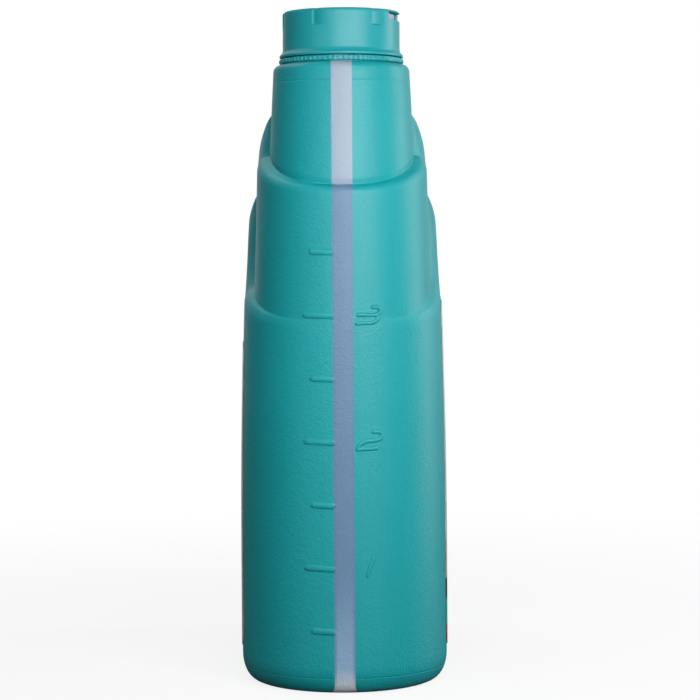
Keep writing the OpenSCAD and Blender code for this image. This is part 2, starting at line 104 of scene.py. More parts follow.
class JugSizes(bpy.types.PropertyGroup):
    """Sizes of the jug's form."""
    wall: size("Wall", "Thickness of the moulded wall", 1.2)
    front_d: size("Front depth", "Depth of the rounded front end, in plan", 50)
    front_shrink: size("Front shrink", "How much shallower that end is at the lower step", 1.5)
    back_d: size("Back depth", "Depth of the rounded back end, in plan", 38)
    taper_z: size("Taper start", "Height at which the sides start to draw in", 50)
    lean_z: size("Lean start", "Height at which the front starts to lean back", 60)
    base_round_h: size("Base round height", "Height over which the base edge rounds", 12)
    base_round_in: size("Base round depth", "How far the base edge rounds inwards", 7)
    foot_w: size("Foot width", "Width of the ring that the jug stands on", 8)
    foot_step: size("Foot step", "Width of the slope inside that ring", 4)
    push_up: size("Push-up", "Rise of the panel inside that ring", 2.5)
    roof_z: size("Roof corner", "Height at which the back wall starts to round over", 168)
    roof_corner_r: size("Roof corner radius", "Corner between back wall and roof", 30)
    roof_slope: angle("Roof slope", "Slope of the roof towards the neck", 20)
    roof_fillet_r: size("Roof fillet radius", "Fillet between roof and column", 30)
    saddle_d: size("Saddle depth", "Depth of the rounding behind the column, in plan", 15)
    column_top_w: size("Column top width", "Width of the column under the cap", 62.2)
    column_foot_w: size("Column foot width", "Width of the column at the upper step", 67.8)
    column_edge_r: size("Column edge radius", "Radius of the column's top edge", 3.2)
    step1_z: size("Upper step", "Height of the upper step at the stripe", 228.5)
    step1_rise: size("Upper step rise", "How much it rises to the sides", 14.5)
    step1_back_z: size("Upper step back", "Height of its top behind the sides", 263)
    step1_fall: size("Upper step fall", "Height of its own curve at the stripe", 4)
    step1_side_fall: size("Upper step side fall", "Height of that curve at the sides", 7)
    step1_back_fall: size("Upper step back fall", "Height of that curve behind them", 21)
    mid_top_w: size("Middle top width", "Width of the middle tier below the upper step", 78)
    mid_foot_w: size("Middle foot width", "Width of the middle tier at the lower step", 82)
    step1_front: size("Middle overhang", "Front overhang of the middle tier", 3.2)
    mid_front_d: size("Middle front depth", "Depth of the middle tier's front, in plan", 41.5)
    step2_z: size("Lower step", "Height of the lower step at the stripe", 168)
    step2_rise: size("Lower step rise", "How much it rises to the sides", 13)
    step2_back_z: size("Lower step back", "Height of its top behind the sides", 227)
    step2_fall: size("Lower step fall", "Height of its own curve round the front", 5)
    step2_back_fall: size("Lower step back fall", "Height of that curve behind the sides", 15)
    low_top_w: size("Lower top width", "Width of the lower tier below the step's end", 88.8)
    handle_w: size("Handle width", "Width of the handle", 32)
    handle_t: size("Handle thickness", "Thickness of the handle", 24)
    handle_z: size("Handle height", "Height of the handle's middle line", 264)
    handle_in: size("Handle inset", "Gap between handle and the line of the back wall", 3)
    stripe_w: size("Stripe width", "Width of the view stripe", 9.3)
    mark_pitch: size("Mark pitch", "Half a quart on the scale", 28.3)
    mark_h: size("Mark height", "Height of one mark", 2.9)
    mark_proud: size("Mark relief", "How far marks and figures stand proud", 0.7)
    mark_short: size("Short mark", "Length of a half-quart mark", 11.2)
    mark_long: size("Long mark", "Length of a quart mark", 14.2)
    mark_slant: angle("Mark slant", "Slant of the marks", 2.3)
    figure_stroke: size("Figure stroke", "Width of a figure's stroke", 1.7)


class CapSizes(bpy.types.PropertyGroup):
    """Sizes of the cap, the neck finish, the tamper band and the seal insert."""
    neck_bore: size("Neck bore", "Bore of the neck", 41)
    neck_od: size("Neck diameter", "Outer diameter of the neck under the thread", 45.2)
    bead_h: size("Bead height", "Height of the bead that holds the tamper band", 1.6)
    thread_lead: size("Thread lead", "Rise of the cap in one turn", 10)
    thread_proud: size("Thread height", "Height of the neck's thread", 1.5)
    cap_wall: size("Cap wall", "Wall of the cap", 2)
    cap_top: size("Cap top", "Thickness of the cap's top", 1.0)
    cap_edge_r: size("Cap edge radius", "Radius of the cap's top edge", 1.2)
    flare_h: size("Flare height", "Height of the flare at the cap's lower edge", 3.8)
    flare_out: size("Flare reach", "Reach of the flare beyond the wall", 1.5)
    grip_depth: size("Grip depth", "Depth of a recess at its steep end", 1.3)
    grip_h: size("Grip height", "Height of a recess, down from the top", 7.4)
    grip_at: angle("First grip", "Direction of the first recess from the front", 32)
    grip_ramp: angle("Grip ramp", "Angle over which a recess runs out", 15)
    grips: bpy.props.IntProperty(name="Grips", description="Number of grip recesses", default=6)
    window_h: size("Window height", "Height of the window under the rim", 3.6)
    window_span: angle("Window span", "Angle that the window spans", 38)
    window_after: angle("Window gap", "Angle between the first recess and the window", 7)
    plug_wall: size("Plug wall", "Wall of the plug ring", 1.3)
    seal_t: size("Seal thickness", "Thickness of the disc under the cap's top", 2.8)
    band_wall: size("Band wall", "Wall of the tamper band", 2.3)
    band_rib_h: size("Rib height", "Height of the band's ribs", 0.5)
    band_ribs: bpy.props.IntProperty(
        name="Ribs", description="Number of ribs round the band", default=78)
    fit: size("Fit", "Clearance between the cap and what turns inside it", 0.3)


class JugColours(bpy.types.PropertyGroup):
    """Colours of the jug, as they show on a screen."""
    teal: colour("Teal", "Colour of the moulded shell", 8, 160, 166)
    cap_teal: colour("Cap teal", "Colour of cap and tamper band", 22, 158, 165)
    stripe_clear: colour("Clear stripe", "View stripe above the fill", 152, 170, 188)
    stripe_filled: colour("Filled stripe", "View stripe in front of the fill", 102, 136, 168)
    stripe_foot: colour("Stripe foot", "View stripe near the base", 146, 178, 208)
    stripe_edge: colour("Stripe edge", "Edges of the view stripe", 92, 128, 172)
    natural: colour("Natural resin", "Colour of the seal insert", 168, 182, 194)
    oil: colour("Oil", "Colour of the fill", 190, 120, 40)
    label_field: colour("Label field", "Plain field of the labels", 206, 206, 202)
    label_teal: colour("Label teal", "Teal band of the labels", 30, 168, 154)
    label_brown: colour("Label brown", "Dark band of the labels", 64, 44, 44)
    label_red: colour("Label red", "Red band of the labels", 200, 52, 80)
    label_pink: colour("Label pink", "Pale band of the labels", 214, 176, 176)
    backdrop: colour("Backdrop", "Floor", 250, 250, 250)


class Wire:
    """A shader socket that Python's operators work on. Each one adds a Math node."""

    def __init__(self, nodes, socket):
        self.nodes = nodes
        self.socket = socket

    def maths(self, operation, *values):
        names = range(len(values))
        return self.nodes.add("ShaderNodeMath", {"operation": operation}, dict(zip(names, values)))

    def __add__(self, other):
        return self.maths("ADD", self, other)

    __radd__ = __add__

    def __sub__(self, other):
        return self.maths("SUBTRACT", self, other)

    def __rsub__(self, other):
        return self.maths("SUBTRACT", other, self)

    def __mul__(self, other):
        return self.maths("MULTIPLY", self, other)

    __rmul__ = __mul__

    def __truediv__(self, other):
        return self.maths("DIVIDE", self, other)

    def __rtruediv__(self, other):
        return self.maths("DIVIDE", other, self)

    def __pow__(self, other):
        return self.maths("POWER", self, other)

    def __abs__(self):
        return self.maths("ABSOLUTE", self)

    def sine(self):
        return self.maths("SINE", self)


class Nodes:
    """Builds the node tree of a material or a world. One method makes any node."""

    def __init__(self, owner, output="ShaderNodeOutputMaterial"):
        owner.use_nodes = True
        self.owner = owner
        self.tree = owner.node_tree
        self.tree.nodes.clear()
        self.output = self.add(output, node=True)

    @classmethod
    def for_material(cls, name):
        """A new material's tree, with the place on the object as x, y and z."""
        n = cls(bpy.data.materials.new(name))
        n.place = n.add("ShaderNodeTexCoord", output="Object")
        axes = n.add("ShaderNodeSeparateXYZ", {}, {0: n.place}, node=True)
        n.x, n.y, n.z = (Wire(n, socket) for socket in axes.outputs)
        return n

    def add(self, kind, settings=None, inputs=None, output=0, node=False):
        """Adds a node: its settings first, then the values or links of its sockets."""
        made = self.tree.nodes.new(kind)
        for key, value in (settings or {}).items():
            setattr(made, key, value)
        for key, value in (inputs or {}).items():
            self.feed(made.inputs[key], value)
        return made if node else Wire(self, made.outputs[output])

    def feed(self, socket, value):
        if isinstance(value, Wire):
            self.tree.links.new(value.socket, socket)
        else:
            socket.default_value = value

    def noise(self, scale, detail=2, roughness=0.5, stretch=None):
        """Noise from 0 to 1 in the object's own place."""
        place = self.place
        if stretch:
            place = self.add("ShaderNodeMapping", {}, {"Vector": place, "Scale": stretch})
        return self.add("ShaderNodeTexNoise", {}, {
            "Vector": place, "Scale": scale, "Detail": detail, "Roughness": roughness})

    def step(self, value, edge, soft):
        """0 below edge and 1 above it, with a soft change between."""
        return self.add("ShaderNodeMapRange", {"interpolation_type": "SMOOTHSTEP"}, {
            "Value": value, "From Min": edge - soft, "From Max": edge + soft})

    def band(self, value, low, high, soft):
        """1 between low and high, with soft edges."""
        return self.step(value, low, soft) * (1 - self.step(value, high, soft))

    def mix(self, share, one, other):
        """One colour where share is 0 and the other where it is 1."""
        def full(value):
            return value if isinstance(value, Wire) else (*value, 1)
        return self.add("ShaderNodeMix", {"data_type": "RGBA"}, {
            0: share, 6: full(one), 7: full(other)}, output=2)

    def bump(self, height, strength, distance, normal=None):
        inputs = {"Height": height, "Strength": strength, "Distance": distance}
        if normal:
            inputs["Normal"] = normal
        return self.add("ShaderNodeBump", {}, inputs)

    def finish(self, **inputs):
        """Ends the tree in one Principled shader and returns the material."""
        sockets = {key.replace("_", " "): value for key, value in inputs.items()}
        shader = self.add("ShaderNodeBsdfPrincipled", {}, sockets)
        self.feed(self.output.inputs["Surface"], shader)
        return self.owner


def mix(a, b, t):
    return a + (b - a) * t


def unit(t):
    return np.clip(t, 0, 1)


def ease(t):
    u = unit(t)
    return u * u * (3 - 2 * u)


class Stations:
    """Places round half of the plan, from the stripe to the back: a front arc,
    a straight side and a back arc."""

    def __init__(self, front_n, side_n, back_n):
        front = [(0, a) for a in np.linspace(0, math.pi / 2, front_n + 1)]
        side = [(1, u) for u in np.linspace(0, 1, side_n + 1)[1:]]
        back = [(2, a) for a in np.linspace(0, math.pi / 2, back_n + 1)[1:]]
        places = front + side + back
        self.part = np.array([p for p, v in places])
        self.value = np.array([v for p, v in places])
        self.front = self.part == 0
        self.side = self.part == 1
        self.cos = np.cos(self.value)
        self.sin = np.sin(self.value)

    def choose(self, front, side, back):
        """Takes each station's value from the part that it lies in."""
        return np.where(self.front, front, np.where(self.side, side, back))


class Shell:
    """The jug's blown skin, worked out from its sizes."""
    # How far the column's back half circle is set behind the neck's axis
    column_gap = 1 * MM
    # Share of the way from the column's top to its foot at which its back is measured
    back_share = 0.35
    # How late the sides draw in on the way up
    taper_power = 2.1
    # How late each step rises round the front, and how full its curve is there
    step1_power = 1.2
    step1_round = 0.55
    step2_power = 1.5
    step2_round = 0.6
    # Share of the side over which the lower step rises
    step2_run = 0.35
    # Share of a step's fall over which it starts softly
    soft_start = 0.22
    # Fine groove above the upper step
    groove_h = 1.6 * MM
    groove_d = 0.7 * MM
    # Gap between the column's top and the tamper band
    band_gap = 0.5 * MM
    # How closely the rows crowd at the top of a step and at the foot of the column
    step_crowd = 1.5
    column_crowd = 1.6
    foot_rows = 5
    round_rows = 11

    def __init__(self, s):
        self.s = s
        self.width = body_high.x - body_low.x
        self.y_back = body_high.y
        self.y_front = -body_high.y
        self.top = band_low.z - self.band_gap
        column_w = mix(s.column_top_w, s.column_foot_w, self.back_share)
        self.column_back = neck_y + self.column_gap + column_w / 2
        slope = s.roof_slope
        self.roof_z1 = s.roof_z + s.roof_corner_r * math.cos(slope)
        self.roof_y1 = self.y_back - s.roof_corner_r * (1 - math.sin(slope))
        self.roof_y2 = self.column_back + s.roof_fillet_r * (1 - math.sin(slope))
        self.roof_z2 = self.roof_z1 + (self.roof_y1 - self.roof_y2) * math.tan(slope)
        self.roof_z3 = self.roof_z2 + s.roof_fillet_r * math.cos(slope)
        self.mid_front = neck_y - self.column_gap / 2 - s.column_foot_w / 2 - s.step1_front

    def back_y(self, z):
        """The back in side view: wall, corner, sloping roof, fillet, column."""
        s = self.s
        corner = self.y_back - s.roof_corner_r + np.sqrt(
            np.maximum(s.roof_corner_r ** 2 - (z - s.roof_z) ** 2, 0))
        roof = self.roof_y1 - (z - self.roof_z1) / math.tan(s.roof_slope)
        fillet = self.column_back + s.roof_fillet_r - np.sqrt(
            np.maximum(s.roof_fillet_r ** 2 - (z - self.roof_z3) ** 2, 0))
        heights = [z <= s.roof_z, z <= self.roof_z1, z <= self.roof_z2, z <= self.roof_z3]
        return np.select(heights, [self.y_back + 0 * z, corner, roof, fillet], self.column_back)

    def back_depth(self, z):
        """Depth of the rounded back end, which gets shallower up the roof."""
        s = self.s
        return mix(s.back_d, s.saddle_d, ease((z - self.roof_z1) / (s.step2_back_z - self.roof_z1)))

    def front_y(self, z):
        """The front in side view, upright at first and then leaning back."""
        s = self.s
        return mix(self.mid_front, self.y_front, unit((s.step1_z - z) / (s.step1_z - s.lean_z)))

    def column_plan(self, z):
        """Half width, front, front centre, back centre and back of the column."""
        s = self.s
        r = mix(s.column_foot_w, s.column_top_w, (z - s.step1_z) / (self.top - s.step1_z)) / 2
        y = neck_y - self.column_gap / 2
        return r, y - r, y + 0 * z, neck_y + self.column_gap + 0 * z, neck_y + self.column_gap + r

    def mid_plan(self, z):
        """The same five values for the middle tier."""
        s = self.s
        share = (z - s.step2_z) / (s.step1_back_z - s.step1_back_fall - s.step2_z)
        half = mix(s.mid_foot_w, s.mid_top_w, share) / 2
        f = self.front_y(z)
        back = self.back_y(z)
        return half, f, f + s.mid_front_d, back - self.back_depth(z), back

    def low_plan(self, z):
        """The same five values for the lower tier."""
        s = self.s
        reach = s.step2_back_z - s.step2_back_fall - s.taper_z
        share = (np.maximum(z - s.taper_z, 0) / reach) ** self.taper_power
        half = mix(self.width, s.low_top_w, share) / 2
        f = self.front_y(z)
        d = s.front_d - s.front_shrink * unit((z - s.lean_z) / (s.step2_z + s.step2_rise - s.lean_z))
        back = self.back_y(z)
        return half, f, f + d, back - self.back_depth(z), back

    def plan_point(self, st, plan):
        """Points of a plan at the stations."""
        half, front, front_c, back_c, back = plan
        x = half * st.choose(st.sin, 1, st.cos)
        y = st.choose(
            front_c - (front_c - front) * st.cos,
            mix(front_c, back_c, st.value),
            back_c + (back - back_c) * st.sin)
        return np.stack([x, y], -1)

    def inward(self, st):
        """Directions into the plan at the stations."""
        x = st.choose(-st.sin, -1.0, -st.cos)
        y = st.choose(st.cos, 0.0, -st.sin)
        return np.stack([x, y], -1)

    def step1(self, st):
        """Height, fall and roundness of the upper step at each station."""
        s = self.s
        c = 1 - st.cos
        t = ease(st.value)
        top = st.choose(s.step1_z + s.step1_rise * c ** self.step1_power,
                        mix(s.step1_z + s.step1_rise, s.step1_back_z, t), s.step1_back_z)
        drop = st.choose(mix(s.step1_fall, s.step1_side_fall, c),
                         mix(s.step1_side_fall, s.step1_back_fall, t), s.step1_back_fall)
        return top, drop, st.choose(self.step1_round, mix(self.step1_round, 1, unit(st.value)), 1)

    def step2(self, st):
        """The same for the lower step."""
        s = self.s
        c = 1 - st.cos
        u = ease(st.value / self.step2_run)
        top = st.choose(s.step2_z + s.step2_rise * c ** self.step2_power,
                        mix(s.step2_z + s.step2_rise, s.step2_back_z, u), s.step2_back_z)
        drop = st.choose(s.step2_fall, mix(s.step2_fall, s.step2_back_fall, u), s.step2_back_fall)
        return top, drop, st.choose(self.step2_round, mix(self.step2_round, 1, u), 1)

    def skin_xy(self, st, z):
        """The column, then the middle tier below the upper step, then the lower tier."""
        def fall(step):
            top, drop, power = step
            t = unit((top - z) / drop)
            return (np.sin(math.pi / 2 * t) ** power * ease(t / self.soft_start))[..., None]
        column = self.plan_point(st, self.column_plan(z))
        middle = self.plan_point(st, self.mid_plan(z))
        low = self.plan_point(st, self.low_plan(z))
        above = (z - self.step1(st)[0]) / self.groove_h
        groove = self.groove_d * np.exp(-above ** 2) * (above >= -1)
        column = column + groove[..., None] * self.inward(st)
        return mix(column, mix(middle, low, fall(self.step2(st))), fall(self.step1(st)))

    def skin(self, st, low_n, step_n, mid_n, column_n, edge_n):
        """Rings of points of the whole skin, bottom to top, with a count of rows for
        the lower tier, each step, the middle tier, the column and its top edge."""
        s = self.s
        top1, drop1, _ = self.step1(st)
        top2, drop2, _ = self.step2(st)
        inward = self.inward(st)
        base = np.full(len(st.value), s.base_round_h)
        rim_z = self.top - s.column_edge_r
        rows = []
        for t in np.linspace(1, 0, self.foot_rows):
            rows.append(self.pulled(st, s.base_round_h, s.base_round_in + s.foot_w + s.foot_step * t,
                                    inward, s.push_up * ease(t)))
        for a in np.linspace(0, math.pi / 2, self.round_rows):
            rows.append(self.pulled(st, s.base_round_h, s.base_round_in * (1 - math.sin(a)),
                                    inward, s.base_round_h * (1 - math.cos(a))))
        step_shares = 1 - np.linspace(1, 0, step_n)[1:] ** self.step_crowd
        spans = [(base, top2 - drop2, np.linspace(0, 1, low_n)[1:]),
                 (top2 - drop2, top2, step_shares),
                 (top2, top1 - drop1, np.linspace(0, 1, mid_n)[1:]),
                 (top1 - drop1, top1, step_shares),
                 (top1, rim_z, np.linspace(0, 1, column_n)[1:] ** self.column_crowd)]
        for low, high, shares in spans:
            for t in shares:
                z = mix(low, high, t)
                rows.append(np.column_stack([self.skin_xy(st, z), z]))
        for a in np.linspace(0, math.pi / 2, edge_n)[1:]:
            rows.append(self.pulled(st, rim_z, s.column_edge_r * (1 - math.cos(a)),
                                    inward, rim_z + s.column_edge_r * math.sin(a)))
        half = np.array(rows)
        other = half[:, -2:0:-1] * (-1, 1, 1)
        return np.concatenate([half, other], axis=1)

    def pulled(self, st, z, d, inward, height):
        """A ring at the plan of height z, pulled in by d and set at a height."""
        xy = self.skin_xy(st, np.full(len(st.value), z)) + d * inward
        return np.column_stack([xy, np.full(len(xy), height)])

    def face_y(self, x, z):
        """How far forward the front face of the lower tier lies."""
        half, front, centre, _, _ = self.low_plan(z)
        return centre - (centre - front) * np.sqrt(np.maximum(1 - (x / half) ** 2, 0))

    def face_point(self, x, z, out):
        """A point that stands out from the front face by out."""
        d = 0.5 * MM
        slope = (self.face_y(x + d, z) - self.face_y(x - d, z)) / (2 * d)
        length = np.sqrt(1 + slope ** 2)
        return (x + out * slope / length, self.face_y(x, z) - out / length, z)


def offset_rings(rings, d):
    """Rings of points moved inwards by d along the surface's normals."""
    across = np.roll(rings, -1, axis=1) - np.roll(rings, 1, axis=1)
    up = np.gradient(rings, axis=0)
    n = np.cross(across, up)
    n /= np.linalg.norm(n, axis=2, keepdims=True)
    n[0] = (0, 0, -1)
    n[-1] = (0, 0, 1)
    return rings - d * n


def ring_mesh(name, rings, closed_ends=True):
    """A mesh through rings of points, with its ends filled or joined to each other."""
    m, n = len(rings), len(rings[0])
    points = [tuple(p) for ring in rings for p in ring]
    last = m - 1 if closed_ends else m
    faces = []
    for i in range(last):
        k = (i + 1) % m
        for j in range(n):
            b = (j + 1) % n
            faces.append((i * n + j, i * n + b, k * n + b, k * n + j))
    if closed_ends:
        faces.append(tuple(range(n - 1, -1, -1)))
        faces.append(tuple((m - 1) * n + j for j in range(n)))
    mesh = bpy.data.meshes.new(name)
    mesh.from_pydata(points, [], faces)
    return outward(mesh)


def outward(mesh):
    """Merges doubles and turns every face outwards."""
    bm = bmesh.new()
    bm.from_mesh(mesh)
    bmesh.ops.remove_doubles(bm, verts=bm.verts, dist=0.002 * MM)
    bmesh.ops.recalc_face_normals(bm, faces=bm.faces)
    bm.to_mesh(mesh)
    bm.free()
    return mesh


def lathe(name, profile, steps):
    """A closed profile of (radius, height) points turned round the neck's axis."""
    rings = []
    for k in range(steps):
        a = 2 * math.pi * k / steps
        rings.append([(r * math.cos(a), neck_y + r * math.sin(a), z) for r, z in profile])
    return ring_mesh(name, rings, closed_ends=False)


def rounded(points, radius, steps=4):
    """A closed outline with each corner rounded by up to radius."""
    made = []
    n = len(points)
    for k in range(n):
        before, corner, after = (Vector(points[(k + d) % n]) for d in (-1, 0, 1))
        if corner.x == 0:
            made.append(tuple(corner))
            continue
        reach = min(radius, (before - corner).length * 0.45, (after - corner).length * 0.45)
        p = corner + (before - corner).normalized() * reach
        q = corner + (after - corner).normalized() * reach
        for t in np.linspace(0, 1, steps + 1):
            made.append(tuple((1 - t) ** 2 * p + 2 * t * (1 - t) * corner + t * t * q))
    return made


def add_object(name, mesh):
    made = bpy.data.objects.new(name, mesh)
    bpy.context.scene.collection.objects.link(made)
    return made


def settle(made):
    """Turns an object's modifiers into plain mesh."""
    bpy.context.view_layer.update()
    graph = bpy.context.evaluated_depsgraph_get()
    mesh = bpy.data.meshes.new_from_object(made.evaluated_get(graph))
    made.modifiers.clear()
    old = made.data
    made.data = mesh
    bpy.data.meshes.remove(old)
    return made


def combine(made, operation, meshes):
    """Joins closed meshes to an object or cuts them out of it."""
    tools = [add_object("tool", mesh) for mesh in meshes]
    for tool in tools:
        change = made.modifiers.new("combine", "BOOLEAN")
        change.operation = operation
        change.solver = "MANIFOLD"
        change.object = tool
    settle(made)
    for tool in tools:
        mesh = tool.data
        bpy.data.objects.remove(tool)
        bpy.data.meshes.remove(mesh)
    return made


def soften(made, zone, reach, turns, fold=math.radians(20)):
    """Rounds the inward folds of a mesh inside a zone, as blown plastic does."""
    bm = bmesh.new()
    bm.from_mesh(made.data)
    bmesh.ops.remove_doubles(bm, verts=[v for v in bm.verts if zone(v.co)], dist=0.3 * MM)
    bmesh.ops.triangulate(bm, faces=bm.faces)
    creases = [e for e in bm.edges if len(e.link_faces) == 2 and zone(e.verts[0].co)
               and e.calc_face_angle_signed(0) < -fold]
    tree = KDTree(len(creases))
    for k, e in enumerate(creases):
        tree.insert((e.verts[0].co + e.verts[1].co) / 2, k)
    tree.balance()
    near = []
    for e in bm.edges:
        middle = (e.verts[0].co + e.verts[1].co) / 2
        if zone(middle) and e.calc_length() > 1.6 * MM and tree.find(middle)[2] < reach:
            near.append(e)
    bmesh.ops.subdivide_edges(bm, edges=near, cuts=1)
    bmesh.ops.triangulate(bm, faces=bm.faces)
    bm.verts.ensure_lookup_table()
    bm.verts.index_update()
    weight = np.zeros(len(bm.verts))
    for v in bm.verts:
        if zone(v.co):
            weight[v.index] = ease(1 - tree.find(v.co)[2] / reach)
    ends = np.array([(e.verts[0].index, e.verts[1].index) for e in bm.edges])
    ends = ends[(weight[ends] > 0).any(axis=1)]
    place = np.array([v.co for v in bm.verts])
    count = np.zeros(len(place))
    np.add.at(count, ends[:, 0], 1)
    np.add.at(count, ends[:, 1], 1)
    for _ in range(turns):
        total = np.zeros_like(place)
        np.add.at(total, ends[:, 0], place[ends[:, 1]])
        np.add.at(total, ends[:, 1], place[ends[:, 0]])
        moved = total / np.maximum(count, 1)[:, None]
        place = mix(place, moved, 0.6 * weight[:, None])
    for v in bm.verts:
        if weight[v.index] > 0:
            v.co = place[v.index]
    bm.to_mesh(made.data)
    bm.free()
    return made


def catmull(points, steps):
    """A smooth line through points, with steps on each stretch."""
    p = [np.array(q, float) for q in points]
    p = [p[0]] + p + [p[-1]]
    line = []
    for i in range(1, len(p) - 2):
        a, b, c, d = p[i - 1:i + 3]
        for t in np.arange(steps) / steps:
            line.append(0.5 * (2 * b + (c - a) * t + (2 * a - 5 * b + 4 * c - d) * t * t
                               + (3 * b - a - 3 * c + d) * t ** 3))
    return np.array(line + [p[-2]])


def handle_rings(shell, d, steps, sides):
    """Rings of the handle's tube, from inside the column into the back wall, drawn in by d."""
    root_widening, front_root, back_root = 0.28, 0.35, 0.45
    squareness = 0.8
    s = shell.s
    y2 = shell.y_back - s.handle_in - s.handle_t / 2
    z = s.handle_z
    line = catmull([
        (neck_y + 14 * MM, z - 8 * MM), (neck_y + 50 * MM, z - 1 * MM), (neck_y + 86 * MM, z - 2 * MM),
        (y2 - 30 * MM, z - 16 * MM), (y2 - 6 * MM, z - 40 * MM), (y2, z - 70 * MM),
        (y2 - 7 * MM, z - 98 * MM)], steps)
    along = np.gradient(line, axis=0)
    along /= np.linalg.norm(along, axis=1, keepdims=True)
    t = np.linspace(0, 1, len(line))
    roots = unit(1 - t / front_root) ** 2 + unit(1 - (1 - t) / back_root) ** 2
    widening = 1 + root_widening * roots
    a = np.linspace(0, 2 * math.pi, sides, endpoint=False)
    across = np.sign(np.cos(a)) * np.abs(np.cos(a)) ** squareness
    out = np.sign(np.sin(a)) * np.abs(np.sin(a)) ** squareness
    rings = []
    for q, u, w in zip(line, along, widening):
        c = out * (s.handle_t / 2 - d)
        wide = across * (w * s.handle_w / 2 - d)
        rings.append(np.column_stack([wide, q[0] - u[1] * c, q[1] + u[0] * c]))
    return np.array(rings)


def stroke_mesh(shell, line, width, proud):
    """A raised stroke on the front face, domed, with rounded ends."""
    sunk = 0.6 * MM
    spacing = 0.5 * MM
    thinnest = 0.02
    p = np.array(line, float)
    steps = np.linalg.norm(np.diff(p, axis=0), axis=1)
    length = steps.sum()
    at = np.concatenate([[0], np.cumsum(steps)])
    round_off = width * 0.5
    ends = round_off * (1 - np.cos(np.linspace(0, math.pi / 2, 6)))
    inner = np.arange(round_off + 0.4 * MM, length - round_off - 0.2 * MM, spacing)
    places = np.concatenate([ends, inner, (length - ends)[::-1]])
    middle = np.column_stack([np.interp(places, at, p[:, k]) for k in (0, 1)])
    way = np.gradient(middle, axis=0)
    for _ in range(3):
        way[1:-1] = (way[:-2] + way[1:-1] + way[2:]) / 3
    way /= np.linalg.norm(way, axis=1, keepdims=True)
    left = np.column_stack([-way[:, 1], way[:, 0]])
    from_end = np.minimum(places, length - places)
    fullness = np.sqrt(np.maximum(1 - (1 - np.minimum(from_end / round_off, 1)) ** 2, thinnest))
    a = np.linspace(0, math.pi, 9)
    section = [(0.5 * math.cos(v), math.sin(v) ** 0.8) for v in a]
    rings = []
    for q, side, full in zip(middle, left, fullness):
        ring = []
        for across, height in section:
            c = q + across * width * full * side
            ring.append(shell.face_point(c[0], c[1], proud * height * full ** 0.5))
        for across in (-0.5, 0.5):
            c = q + across * width * full * side
            ring.append(shell.face_point(c[0], c[1], -sunk))
        rings.append(ring)
    return ring_mesh("stroke", rings)


def scale_strokes(shell):
    """The level marks and the three figures. A figure's points are millimetres
    right of the middle and above its place, and 3 is drawn in two strokes."""
    mark_overlap = 1 * MM
    figure_lift = 0.8 * MM
    s = shell.s
    end = -s.stripe_w / 2 + mark_overlap
    made = []
    for i in range(1, 8):
        length = s.mark_short if i % 2 else s.mark_long
        z = i * s.mark_pitch
        line = [(end - length, z + length * math.tan(s.mark_slant)), (end, z)]
        made.append(stroke_mesh(shell, line, s.mark_h, s.mark_proud))
    figures = [
        (1, [(13.1, 4.5), (12.4, 2.3), (11.6, 0), (10.8, -2.3), (10.1, -4.4)]),
        (2, [(12.5, 3.8), (16.1, 3.9), (17.2, 2.6), (16.6, 0.8), (14.8, 0.1), (9.8, -0.3), (7.2, -1.7),
             (6, -3.9), (15.4, -3.4)]),
        (3, [(12.5, 3), (15.7, 3), (16.9, 1.6), (16.3, 0.3), (14, -0.5)]),
        (3, [(6, -0.5), (14.3, -0.4), (15.7, -1.2), (15.4, -2.8), (13.4, -3.9), (5.4, -4.3)])]
    for quart, points in figures:
        z = 2 * quart * s.mark_pitch + figure_lift
        line = [(x * MM, z + h * MM) for x, h in points]
        made.append(stroke_mesh(shell, line, s.figure_stroke, s.mark_proud))
    return made


def thread_mesh(name, root, crest, low, high, lead, phase):
    """One start of a screw thread between two heights, fading out at both ends."""
    root_half, crest_half = 1.1, 0.5
    fade = 8
    steps_a_turn = 90
    turns = (high - low) / lead
    steps = int(steps_a_turn * turns)
    rings = []
    for k in range(steps + 1):
        t = k / steps
        a = 2 * math.pi * turns * t + phase
        z = mix(low, high, t)
        full = ease(min(t, 1 - t) * fade)
        tip = mix(root, crest, full)
        inner = root + (root - crest) * 0.3
        ring = [(inner, -root_half), (root, -root_half), (tip, -crest_half),
                (tip, crest_half), (root, root_half), (inner, root_half)]
        rings.append([(r * math.cos(a), neck_y + r * math.sin(a), z + h * MM) for r, h in ring])
    return ring_mesh(name, rings)


def neck_meshes(shell, c):
    """The collar, the neck with its rolled rim, the bead and the thread."""
    rim = body_high.z
    r = c.neck_od / 2
    collar = band_high.x - c.band_wall - c.fit
    bead = (cap_high.x - c.flare_out) - c.cap_wall - c.fit
    bead_z = cap_low.z + 1 * MM
    wall_r = c.neck_bore / 2 - 2 * MM
    low = shell.top - shell.s.wall
    profile = rounded([
        (wall_r, low), (collar, low), (collar, band_high.z - 0.6 * MM),
        (r, band_high.z), (r, bead_z), (bead, bead_z + 0.2 * MM), (r, bead_z + c.bead_h),
        (r, rim), (wall_r, rim)], 0.5 * MM)
    neck = lathe("neck", profile, 180)
    thread_low = bead_z + c.bead_h + 1.3 * MM
    thread_high = rim - 1.6 * MM
    crest = r + c.thread_proud
    threads = [thread_mesh("thread", r, crest, thread_low, thread_high, c.thread_lead, start)
               for start in (0, math.pi)]
    return [neck] + threads


def bore_mesh(shell, c):
    """What is cut out of the neck, with the lip's rounding at the top."""
    r = c.neck_bore / 2
    rim = body_high.z
    low = shell.top - 3 * MM
    lip = 0.6 * MM
    profile = [(0, low), (r, low), (r, rim - lip), (r + 0.2 * lip, rim - 0.35 * lip),
               (r + lip, rim + 0.05 * MM), (r + lip, rim + 1 * MM), (0, rim + 1 * MM)]
    return lathe("bore", profile, 120)


